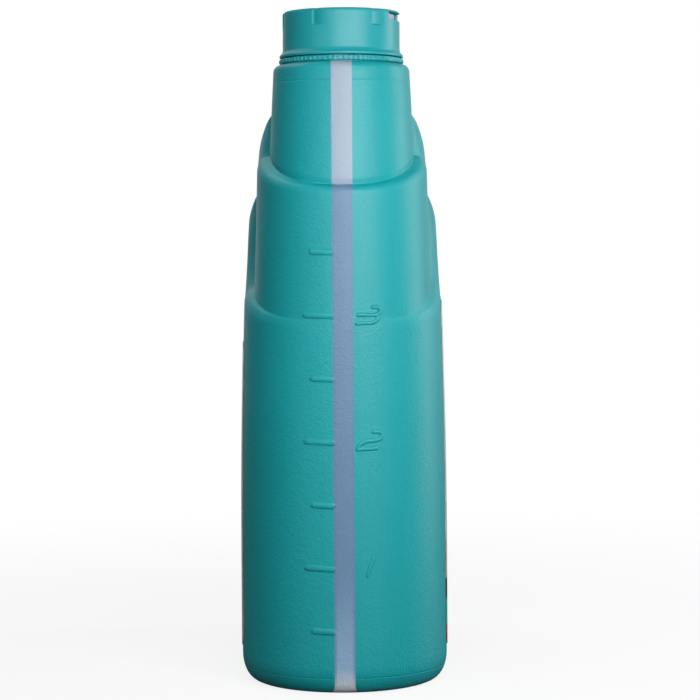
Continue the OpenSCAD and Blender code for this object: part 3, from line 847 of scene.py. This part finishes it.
def jug_material(s, colours):
    """Matte teal polyethylene with a fine grain, the view stripe with its line of fill and a
    painted glow of light at its foot, and the faint parting lines of the mould."""
    # Near white of the painted glow: light shining through the stripe's foot, painted into its colour
    painted_glow_colour = (0.95, 0.98, 1)
    stripe_soft = 0.22 * MM
    fill_line = s.step1_z + 0.2 * MM
    column_line, base_line = 275.2 * MM, 7 * MM
    n = Nodes.for_material("teal_polyethylene")
    cloud = n.noise(14, 3)
    teal = n.mix(cloud, [v * 0.93 for v in colours.teal], [min(1, v * 1.05) for v in colours.teal])
    upper = n.step(n.z, fill_line, 0.7 * MM)
    foot = 1 - n.step(n.z, 30 * MM, 34 * MM)
    filled = n.mix(foot, colours.stripe_filled, colours.stripe_foot)
    # Painted glow: the stripe's lowest part is mixed towards near white, standing in for light shining
    # through it
    painted_glow_share = 1 - n.step(n.z, 6.5 * MM, 7 * MM)
    filled = n.mix(painted_glow_share * 0.9, filled, painted_glow_colour)
    clear = n.mix(upper, filled, colours.stripe_clear)
    half = s.stripe_w / 2
    edge = n.step(abs(n.x), half - 0.9 * MM, 0.8 * MM) * (1 - upper) * (1 - painted_glow_share)
    clear = n.mix(edge * 0.7, clear, colours.stripe_edge)
    front = 1 - n.step(n.y, neck_y, 2 * MM)
    flare = (1 - n.step(n.z, 1.5 * MM, 2 * MM)) * 0.9 * MM
    stripe = (1 - n.step(abs(n.x) - flare, half, stripe_soft)) * front
    base = n.mix(stripe, teal, clear)
    grain = n.noise(1150, 2, 0.55)
    dimple = n.noise(420, 2, 0.5)
    height = grain * 0.6 + dimple * 0.4
    normal = n.bump(height, 1, 0.3 * MM)
    behind = n.step(n.y, -20 * MM, 4 * MM)
    seam = (1 - n.step(abs(n.x), 0.35 * MM, 0.3 * MM)) * behind
    ring = (n.band(n.z, column_line, column_line + 0.5 * MM, 0.25 * MM)
            + n.band(n.z, base_line, base_line + 0.6 * MM, 0.3 * MM))
    normal = n.bump(seam - ring * (1 - stripe), 0.6, 0.18 * MM, normal)
    rough = 0.42 + n.noise(60, 2) * 0.08
    return n.finish(Base_Color=base, Roughness=rough, Normal=normal, IOR=1.5, Specular_IOR_Level=0.5)


def cap_material(name, colours):
    """Smoother teal polypropylene with faint flow lines and a duller lid."""
    lid_z = cad_box[1][2] - 1.2 * MM
    n = Nodes.for_material(name)
    cloud = n.noise(40, 3)
    darker = [v * 0.94 for v in colours.cap_teal]
    paler = [min(1, v * 1.05) for v in colours.cap_teal]
    teal = n.mix(cloud, darker, paler)
    flow = n.noise(90, 3, 0.6, stretch=(0.35, 0.35, 3.0))
    height = flow * 0.6 + n.noise(1300, 2) * 0.4
    lid = n.step(n.z, lid_z, 0.6 * MM)
    rough = 0.38 + flow * 0.10 + lid * 0.3
    return n.finish(Base_Color=teal, Roughness=rough, Normal=n.bump(height, 0.22, 0.12 * MM), IOR=1.5)


def seal_material(colours):
    """Uncoloured polyethylene, a little cloudy."""
    n = Nodes.for_material("natural_polyethylene")
    base = n.mix(n.noise(120, 2), [v * 0.92 for v in colours.natural], colours.natural)
    return n.finish(Base_Color=base, Roughness=0.42 + n.noise(300, 2) * 0.06,
                    Normal=n.bump(n.noise(900, 2), 0.15, 0.1 * MM), IOR=1.5)


def oil_material(colours):
    """Clear amber liquid."""
    n = Nodes.for_material("amber_oil")
    base = n.mix(n.noise(20, 2), [v * 0.85 for v in colours.oil], colours.oil)
    return n.finish(Base_Color=base, Roughness=0.06 + n.noise(30, 2) * 0.04, IOR=1.47,
                    Transmission_Weight=0.7)


def label_material(name, colours, low, high, banded):
    """Printed film in plain fields of colour: a pale field, a framed panel and a sweep
    of bands over the lower part. Without all bands, two of them fall away to the front."""
    sweep_h, sweep_rise, front_fall = 9 * MM, 10 * MM, 34 * MM
    panel_front, panel_back = low.y + 22 * MM, high.y - 20 * MM
    panel_low, panel_high = 84 * MM, 132 * MM
    frame_w = 4 * MM
    crisp = 0.2 * MM
    n = Nodes.for_material(name)
    base = n.mix(n.noise(25, 2), colours.label_field, [v * 0.96 for v in colours.label_field])
    along = (n.y - low.y) / (high.y - low.y)
    sweep = (along * math.pi).sine() * sweep_h + along * sweep_rise
    if not banded:
        sweep = sweep - (1 - along) ** 4 * front_fall
    level = n.z - sweep
    edges = [(63, colours.label_pink), (46.6, colours.label_brown), (37.3, colours.label_teal),
             (25, colours.label_red)]
    if not banded:
        edges = [(40, colours.label_pink), (34, colours.label_teal)]
    for edge, tint in edges:
        below = 1 - n.step(level, edge * MM, 0.15 * MM)
        base = n.mix(below, base, tint)
    panel = n.band(n.y, panel_front, panel_back, crisp) * n.band(n.z, panel_low, panel_high, crisp)
    base = n.mix(panel * 0.9, base, colours.label_teal)
    inner = (n.band(n.y, panel_front + frame_w, panel_back - frame_w, crisp)
             * n.band(n.z, panel_low + frame_w, panel_high - frame_w, crisp))
    base = n.mix(inner, base, [min(1, v * 1.12) for v in colours.label_field])
    return n.finish(Base_Color=base, Roughness=0.28 + n.noise(50, 2) * 0.06,
                    Normal=n.bump(n.noise(700, 2), 0.08, 0.1 * MM), IOR=1.5)


def floor_material(colours):
    """Pale floor: near white to the camera, with the object's shadow kept."""
    near_share, far, fade = 0.84, 0.42, 0.28
    n = Nodes.for_material("pale_floor")
    matte = n.add("ShaderNodeBsdfDiffuse", {}, {"Color": (*colours.backdrop, 1)})
    white = n.add("ShaderNodeEmission", {}, {"Color": (1, 1, 1, 1), "Strength": 1.0})
    away = (n.x * n.x + n.y * n.y) ** 0.5
    share = near_share + (1 - near_share) * n.step(away, far, fade)
    shown = n.add("ShaderNodeMixShader", {}, {0: share, 1: matte, 2: white})
    dark = n.add("ShaderNodeBsdfDiffuse", {}, {"Color": (0.12, 0.12, 0.12, 1)})
    seen = n.add("ShaderNodeLightPath", output="Is Camera Ray")
    both = n.add("ShaderNodeMixShader", {}, {0: seen, 1: dark, 2: shown})
    n.feed(n.output.inputs["Surface"], both)
    return n.owner


def dress(made, material, body, node):
    """Gives a finished piece its material, its body and the node that it stands for."""
    made.data.materials.clear()
    made.data.materials.append(material)
    made.data.shade_smooth()
    made.data.set_sharp_from_angle(angle=SHARP)
    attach(made, body)
    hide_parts(node)
    return made


class JugOperator:
    """What every operator of this file shares."""
    bl_options = {"REGISTER", "UNDO"}

    def execute(self, context):
        scene = context.scene
        self.build(scene.jug_sizes, scene.cap_sizes, scene.jug_colours)
        return {"FINISHED"}


class OILJUG_OT_shell(JugOperator, bpy.types.Operator):
    """Make the blown shell with its handle, neck, level marks and figures"""
    bl_idname = "oil_jug.shell"
    bl_label = "Shell"
    root_r = 12 * MM
    root_turns = 26

    def build(self, sizes, cap_sizes, colours):
        shell = Shell(sizes)
        outer_stations = Stations(46, 40, 28)
        inner_stations = Stations(30, 24, 16)
        outer = shell.skin(outer_stations, 64, 14, 22, 22, 7)
        made = add_object("jug_shell", ring_mesh("jug_shell", outer))
        combine(made, "UNION", [ring_mesh("handle", handle_rings(shell, 0, 12, 56))])
        soften(made, self.near_handle, self.root_r, self.root_turns)
        combine(made, "UNION", neck_meshes(shell, cap_sizes) + scale_strokes(shell))
        inner = offset_rings(shell.skin(inner_stations, 40, 9, 14, 8, 4), sizes.wall)
        combine(made, "DIFFERENCE", [
            ring_mesh("inside", inner),
            ring_mesh("handle_inside", handle_rings(shell, sizes.wall, 4, 20)),
            bore_mesh(shell, cap_sizes)])
        dress(made, jug_material(sizes, colours), "jug", "jug_body")

    def near_handle(self, p):
        """Whether a point lies where the handle's roots are rounded."""
        return p.y > neck_y + 18 * MM and p.z > 165 * MM and abs(p.x) < 36 * MM


class OILJUG_OT_cap(JugOperator, bpy.types.Operator):
    """Make the screw cap with its grip recesses, flare and window"""
    bl_idname = "oil_jug.cap"
    bl_label = "Cap"
    around = 720
    steep = math.radians(0.7)
    run_out = 1.6

    def build(self, sizes, c, colours):
        made = add_object("screw_cap", self.body(c))
        combine(made, "DIFFERENCE", [self.hollow(c), self.window(c)])
        dress(made, cap_material("teal_cap_resin", colours), "cap", "cap")

    def recess(self, c, a):
        """Depth of the grip recess at an angle from the front, as a share."""
        turn = 2 * math.pi / c.grips
        t = (a - c.grip_at) % turn
        if t > turn - self.steep:
            return ease((t - turn + self.steep) / self.steep)
        return float(max(0, 1 - t / c.grip_ramp)) ** self.run_out

    def body(self, c):
        """The cap's outer form down to its lower edge. Each point of the profile has a
        radius, a height and its share in the recesses."""
        r = cap_high.x - c.flare_out
        top, low = cap_high.z, cap_low.z
        profile = [(0, top, 0), (r * 0.5, top, 0), (r - 3.4 * MM, top, 0), (r - 2.6 * MM, top, 0.3)]
        for a in np.linspace(math.pi / 2, 0, 8):
            profile.append((r - c.cap_edge_r + c.cap_edge_r * math.cos(a),
                            top - c.cap_edge_r + c.cap_edge_r * math.sin(a), 1))
        grip_low = top - c.grip_h
        for z in np.linspace(top - c.cap_edge_r - 0.5 * MM, grip_low + 0.4 * MM, 8):
            profile.append((r, z, 1))
        for t in np.linspace(0, 1, 6):
            profile.append((r, grip_low + 0.3 * MM * (1 - 2 * t), 1 - ease(t)))
        for z in np.linspace(grip_low - 0.6 * MM, low + c.flare_h + 0.6 * MM, 8):
            profile.append((r, z, 0))
        for t in np.linspace(0, 1, 9):
            profile.append((r + c.flare_out * t ** 1.7, low + c.flare_h * (1 - 0.72 * t ** 0.75), 0))
        lip = r + c.flare_out
        lip_r = 0.35 * MM
        for a in np.linspace(0, math.pi / 2, 5)[1:]:
            profile.append((lip - lip_r * (1 - math.cos(a)), low + lip_r * (1 - math.sin(a)), 0))
        profile += [(r - c.cap_wall - 1 * MM, low, 0), (0, low, 0)]
        rings = []
        for k in range(self.around):
            a = 2 * math.pi * k / self.around
            depth = c.grip_depth * self.recess(c, a)
            rings.append([((q - depth * w) * math.sin(a), neck_y - (q - depth * w) * math.cos(a), z)
                          for q, z, w in profile])
        return ring_mesh("screw_cap", rings, closed_ends=False)

    def hollow(self, c):
        """What is cut out of the cap from below, wider at its mouth."""
        r = cap_high.x - c.flare_out - c.cap_wall
        low, top = cap_low.z - 1 * MM, cap_high.z - c.cap_top
        mouth = r + 0.4 * MM
        profile = rounded([(0, low), (mouth, low), (mouth, low + 1.3 * MM), (r, low + 1.8 * MM),
                           (r, top), (0, top)], 0.5 * MM)
        return lathe("hollow", profile, 180)

    def window(self, c):
        """What is cut out of the cap's wall under the rim."""
        r = cap_high.x - c.flare_out
        high = cap_high.z - c.cap_top
        low = high - c.window_h
        inner, outer = r - c.cap_wall - 1 * MM, r + 2 * MM
        start = c.grip_at + c.grip_ramp + c.window_after
        rings = []
        for a in np.linspace(start, start + c.window_span, 24):
            ring = []
            for q, z in ((inner, low), (outer, low), (outer, high), (inner, high)):
                ring.append((q * math.sin(a), neck_y - q * math.cos(a), z))
            rings.append(ring)
        return ring_mesh("window", rings)


class OILJUG_OT_band(JugOperator, bpy.types.Operator):
    """Make the tamper band and set its ribs round it"""
    bl_idname = "oil_jug.band"
    bl_label = "Tamper band"
    rib_sunk = 0.1 * MM
    rib_half_w = 0.62 * MM

    def build(self, sizes, c, colours):
        r = band_high.x - c.band_rib_h
        inner = band_high.x - c.band_wall
        low, high = band_low.z, band_high.z
        profile = rounded([(inner, low), (r, low), (r, high), (inner, high)], 0.4 * MM)
        made = add_object("tamper_ring", lathe("band", profile, 3 * c.band_ribs))
        material = cap_material("teal_band_resin", colours)
        rib = add_object("rib", self.rib(c, high - low))
        change = made.modifiers.new("ribs", "NODES")
        change.node_group = self.tree()
        sockets = {item.name: item.identifier for item in change.node_group.interface.items_tree
                   if item.item_type == "SOCKET" and item.in_out == "INPUT"}
        change[sockets["Rib"]] = rib
        change[sockets["Count"]] = c.band_ribs
        change[sockets["Radius"]] = r - self.rib_sunk
        change[sockets["Centre"]] = (0, neck_y, (low + high) / 2)
        change[sockets["Material"]] = material
        settle(made)
        bpy.data.objects.remove(rib)
        dress(made, material, "jug", "tamper_band")

    def rib(self, c, height):
        """One upright rib with domed ends."""
        half_h = height / 2 - 0.25 * MM
        rings = []
        for t in np.linspace(-1, 1, 9):
            full = math.sqrt(max(1 - abs(t) ** 5, 0.04))
            ring = []
            for a in np.linspace(0, 2 * math.pi, 10, endpoint=False):
                out = (c.band_rib_h + self.rib_sunk) * full * math.cos(a)
                ring.append((out, self.rib_half_w * full * math.sin(a), half_h * t))
            rings.append(ring)
        return ring_mesh("rib", rings)

    def tree(self):
        """Geometry Nodes that set one rib at each point of a circle and join them to the ring."""
        tree = bpy.data.node_groups.new("ribs_round_band", "GeometryNodeTree")
        sockets = tree.interface
        sockets.new_socket("Geometry", in_out="INPUT", socket_type="NodeSocketGeometry")
        sockets.new_socket("Rib", in_out="INPUT", socket_type="NodeSocketObject")
        sockets.new_socket("Count", in_out="INPUT", socket_type="NodeSocketInt")
        sockets.new_socket("Radius", in_out="INPUT", socket_type="NodeSocketFloat")
        sockets.new_socket("Centre", in_out="INPUT", socket_type="NodeSocketVector")
        sockets.new_socket("Material", in_out="INPUT", socket_type="NodeSocketMaterial")
        sockets.new_socket("Geometry", in_out="OUTPUT", socket_type="NodeSocketGeometry")

        def add(kind, links=None, **settings):
            node = tree.nodes.new(kind)
            for key, value in settings.items():
                setattr(node, key, value)
            for key, value in (links or {}).items():
                tree.links.new(value, node.inputs[key])
            return node

        given = add("NodeGroupInput")
        circle = add("GeometryNodeMeshCircle", {"Vertices": given.outputs["Count"],
                                                "Radius": given.outputs["Radius"]})
        place = add("GeometryNodeInputPosition")
        turn = add("FunctionNodeAlignRotationToVector", {"Vector": place.outputs[0]}, axis="X")
        shape = add("GeometryNodeObjectInfo", {"Object": given.outputs["Rib"]})
        copies = add("GeometryNodeInstanceOnPoints", {
            "Points": circle.outputs["Mesh"], "Instance": shape.outputs["Geometry"],
            "Rotation": turn.outputs[0]})
        moved = add("GeometryNodeTransform", {"Geometry": copies.outputs[0],
                                              "Translation": given.outputs["Centre"]})
        solid = add("GeometryNodeRealizeInstances", {"Geometry": moved.outputs[0]})
        union = add("GeometryNodeMeshBoolean", {}, operation="UNION", solver="MANIFOLD")
        tree.links.new(given.outputs["Geometry"], union.inputs["Mesh 2"])
        tree.links.new(solid.outputs[0], union.inputs["Mesh 2"])
        whole = add("GeometryNodeRealizeInstances", {"Geometry": union.outputs["Mesh"]})
        painted = add("GeometryNodeSetMaterial", {"Geometry": whole.outputs[0],
                                                  "Material": given.outputs["Material"]})
        add("NodeGroupOutput", {"Geometry": painted.outputs[0]})
        return tree


class OILJUG_OT_seal(JugOperator, bpy.types.Operator):
    """Make the seal insert, a disc with a plug ring under it"""
    bl_idname = "oil_jug.seal"
    bl_label = "Seal insert"

    def build(self, sizes, c, colours):
        disc = seal_high.x
        plug = c.neck_bore / 2 - c.fit
        top = seal_high.z
        under = top - c.seal_t
        low = seal_low.z
        plug_in = plug - c.plug_wall
        profile = rounded([
            (0, top), (disc, top), (disc, under), (plug, under), (plug, low + 0.6 * MM),
            (plug - 0.5 * MM, low), (plug_in, low), (plug_in, under), (0, under)], 0.3 * MM)
        made = add_object("seal_disc", lathe("seal_disc", profile, 180))
        dress(made, seal_material(colours), "seal", "seal_insert")


class OILJUG_OT_labels(JugOperator, bpy.types.Operator):
    """Lay a film label on each broad side"""
    bl_idname = "oil_jug.labels"
    bl_label = "Labels"
    corner = 9 * MM
    film = 0.25 * MM
    lift = 0.12 * MM
    right_drop = 20 * MM

    def build(self, sizes, c, colours):
        shell = Shell(sizes)
        for side, low, high, node, drop in (
                (-1, left_low, left_high, "label_left", 0),
                (1, right_low, right_high, "label_right", self.right_drop)):
            made = add_object(node + "_film", self.patch(shell, side, low, high, drop))
            printed = label_material(node + "_print", colours, low, high, side > 0)
            dress(made, printed, "jug", node)

    def outline(self, low, high, drop):
        """The label's outline in side view, with rounded corners."""
        corners = [(low.y, low.z), (high.y, low.z), (high.y, high.z - drop), (low.y, high.z)]
        return rounded(corners, self.corner, 10)

    def patch(self, shell, side, low, high, drop):
        """A grid over the label's box, trimmed to its outline and given a thickness."""
        bm = bmesh.new()
        outline = self.outline(low, high, drop)
        face = bm.faces.new([bm.verts.new((0, y, z)) for y, z in outline])
        cuts = (((0, 1, 0), low.y, high.y, 48), ((0, 0, 1), low.z, high.z, 54))
        for axis, start, end, count in cuts:
            for value in np.linspace(start, end, count)[1:-1]:
                bmesh.ops.bisect_plane(bm, geom=bm.verts[:] + bm.edges[:] + bm.faces[:],
                                       plane_co=Vector(axis) * value, plane_no=axis)
        for v in bm.verts:
            v.co.x = side * (self.side_x(shell, v.co.y, v.co.z) + self.lift)
        made = bmesh.ops.extrude_face_region(bm, geom=bm.faces[:])
        for v in made["geom"]:
            if isinstance(v, bmesh.types.BMVert):
                v.co.x += side * self.film
        bmesh.ops.recalc_face_normals(bm, faces=bm.faces)
        mesh = bpy.data.meshes.new("label")
        bm.to_mesh(mesh)
        bm.free()
        return mesh

    def side_x(self, shell, y, z):
        """Half the width of the lower tier at a place on the side."""
        half, front, front_c, back_c, back = shell.low_plan(np.array(z))
        t = 0
        if y < front_c:
            t = (front_c - y) / (front_c - front)
        elif y > back_c:
            t = (y - back_c) / (back - back_c)
        return float(half * np.sqrt(1 - t * t))


class OILJUG_OT_oil(JugOperator, bpy.types.Operator):
    """Give the fill its amber finish"""
    bl_idname = "oil_jug.oil"
    bl_label = "Oil"

    def build(self, sizes, c, colours):
        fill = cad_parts["oil_fill"]
        fill.data.materials.clear()
        fill.data.materials.append(oil_material(colours))


class OILJUG_OT_stage(JugOperator, bpy.types.Operator):
    """Make the floor, the lamps, the world and the camera"""
    bl_idname = "oil_jug.stage"
    bl_label = "Stage"
    aim = Vector((0, 0, 0.17))

    def build(self, sizes, c, colours):
        self.floor(colours)
        self.lamps()
        self.world()
        self.camera()
        bpy.context.scene.view_settings.view_transform = "Standard"

    def floor(self, colours):
        """A plain square of 12 m."""
        half = 6
        mesh = bpy.data.meshes.new("floor")
        mesh.from_pydata([(-half, -half, 0), (half, -half, 0), (half, half, 0), (-half, half, 0)], [],
                         [(0, 1, 2, 3)])
        made = add_object("floor", mesh)
        mesh.materials.append(floor_material(colours))

    def lamp(self, name, azimuth, elevation, distance, width, height, power):
        """A soft box that looks at the middle of the jug: angles in degrees, lengths in
        metres and power in watts. Azimuth 0 is the camera's side."""
        light = bpy.data.lights.new(name, "AREA")
        light.shape = "RECTANGLE"
        light.size = width
        light.size_y = height
        light.energy = power
        made = add_object(name, light)
        a, e = math.radians(azimuth), math.radians(elevation)
        out = Vector((math.sin(a) * math.cos(e), -math.cos(a) * math.cos(e), math.sin(e)))
        made.location = self.aim + out * distance
        made.rotation_mode = "QUATERNION"
        made.rotation_quaternion = out.to_track_quat("Z", "Y")

    def lamps(self):
        self.lamp("key_box", 14, 14, 0.5, 0.46, 0.16, 1.9)
        self.lamp("left_box", -40, 12, 1.0, 0.16, 0.8, 0.9)
        self.lamp("right_box", 35, 8, 1.0, 0.16, 0.8, 1.2)
        self.lamp("right_strip", 107, 8, 0.9, 0.18, 1.0, 4.6)
        self.lamp("back_box", 180, 14, 1.5, 2.2, 1.4, 8)
        self.lamp("left_fill", 238, 52, 1.3, 0.9, 0.9, 4)

    def world(self):
        """White to the camera, and a dim sky to everything else."""
        world = bpy.data.worlds.new("pale_world")
        bpy.context.scene.world = world
        n = Nodes(world, "ShaderNodeOutputWorld")
        dim = n.add("ShaderNodeBackground", {}, {"Color": (0.9, 0.95, 1, 1), "Strength": 0.1})
        white = n.add("ShaderNodeBackground", {}, {"Color": (1, 1, 1, 1), "Strength": 1})
        seen = n.add("ShaderNodeLightPath", output="Is Camera Ray")
        both = n.add("ShaderNodeMixShader", {}, {0: seen, 1: dim, 2: white})
        n.feed(n.output.inputs["Surface"], both)

    def camera(self):
        """The photograph's view, from the narrow end and a little above the middle."""
        lens = 120.2
        shift = -0.0294
        distance = 1039 * MM
        height = 198 * MM
        down, left, roll = math.radians(1.884), math.radians(-0.185), math.radians(0.35)
        data = bpy.data.cameras.new("camera")
        data.lens = lens
        data.shift_y = shift
        data.sensor_width = 36
        data.clip_start = 0.05
        made = add_object("camera", data)
        made.rotation_mode = "XYZ"
        made.rotation_euler = (math.pi / 2 - down, roll, left)
        made.location = (0, body_low.y - distance, height)
        bpy.context.scene.camera = made


class OILJUG_PT_panel(bpy.types.Panel):
    """Sizes, colours and makers of the oil jug"""
    bl_label = "Oil jug"
    bl_idname = "OILJUG_PT_panel"
    bl_space_type = "VIEW_3D"
    bl_region_type = "UI"
    bl_category = "Oil jug"

    def draw(self, context):
        layout = self.layout
        for maker in MAKERS:
            layout.operator(maker.bl_idname)
        for group in (context.scene.jug_sizes, context.scene.cap_sizes, context.scene.jug_colours):
            column = layout.column(align=True)
            for name in group.__annotations__:
                column.prop(group, name)


MAKERS = (OILJUG_OT_shell, OILJUG_OT_cap, OILJUG_OT_band, OILJUG_OT_seal,
          OILJUG_OT_labels, OILJUG_OT_oil, OILJUG_OT_stage)
CLASSES = (JugSizes, CapSizes, JugColours) + MAKERS + (OILJUG_PT_panel,)


def register():
    for cls in CLASSES:
        bpy.utils.register_class(cls)
    bpy.types.Scene.jug_sizes = bpy.props.PointerProperty(type=JugSizes)
    bpy.types.Scene.cap_sizes = bpy.props.PointerProperty(type=CapSizes)
    bpy.types.Scene.jug_colours = bpy.props.PointerProperty(type=JugColours)


def unregister():
    del bpy.types.Scene.jug_sizes, bpy.types.Scene.cap_sizes, bpy.types.Scene.jug_colours
    for cls in reversed(CLASSES):
        bpy.utils.unregister_class(cls)


def main():
    register()
    bpy.ops.oil_jug.stage()
    bpy.ops.oil_jug.shell()
    bpy.ops.oil_jug.cap()
    bpy.ops.oil_jug.band()
    bpy.ops.oil_jug.seal()
    bpy.ops.oil_jug.labels()
    bpy.ops.oil_jug.oil()


if __name__ == "__main__":
    main()
